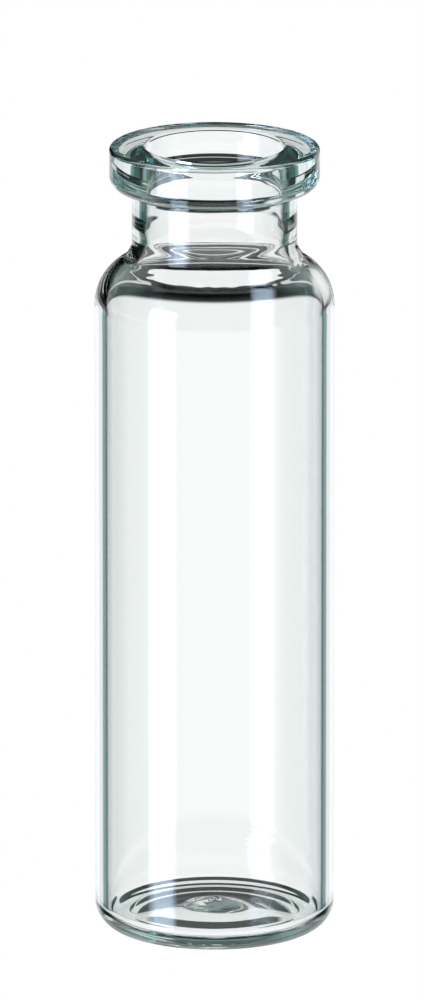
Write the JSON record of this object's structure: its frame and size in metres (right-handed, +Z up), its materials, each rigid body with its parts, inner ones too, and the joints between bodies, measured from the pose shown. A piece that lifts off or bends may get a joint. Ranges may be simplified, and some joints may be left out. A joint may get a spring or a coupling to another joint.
{
  "type": "glass sample vial",
  "caption": "Clear glass crimp-neck sample vial with a flat flange, short neck, rounded shoulder, straight body and pushed-up base.",
  "frame": {"origin": "centre of the ring the vial stands on, on the axis of the body", "axes": "+Z up along the axis of the vial, towards the mouth; X and Y are interchangeable"},
  "size_m": [0.0225, 0.0224, 0.0755],
  "materials": {
    "clear_glass": "clear borosilicate glass, drawn tube with fire-polished ends"
  },
  "bodies": {
    "root": {"vial": "clear_glass"}
  },
  "joints": []
}
